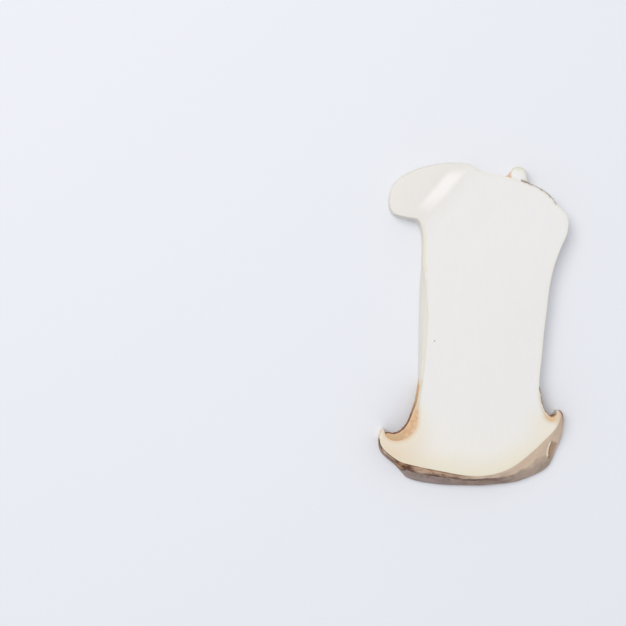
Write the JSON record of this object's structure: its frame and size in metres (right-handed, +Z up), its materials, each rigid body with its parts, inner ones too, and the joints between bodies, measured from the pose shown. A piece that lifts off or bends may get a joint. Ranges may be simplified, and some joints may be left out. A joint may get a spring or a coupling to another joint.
{
  "type": "king oyster mushroom slice",
  "caption": "Raw slice cut lengthwise through a king oyster mushroom, with its thick stem, shallow cap and gilled notches, lying on a cut face.",
  "frame": {"origin": "under the middle of the slice's box, on the surface that the lower cut face lies on", "axes": "+Y from the cap towards the base of the stem, +Z up out of the upper cut face, +X across the stem"},
  "size_m": [0.0776, 0.1322, 0.0083],
  "materials": {
    "mushroom_flesh": "damp ivory flesh, with tan gills and a brown cap skin"
  },
  "bodies": {
    "root": {"mushroom_slice": "mushroom_flesh"}
  },
  "joints": []
}
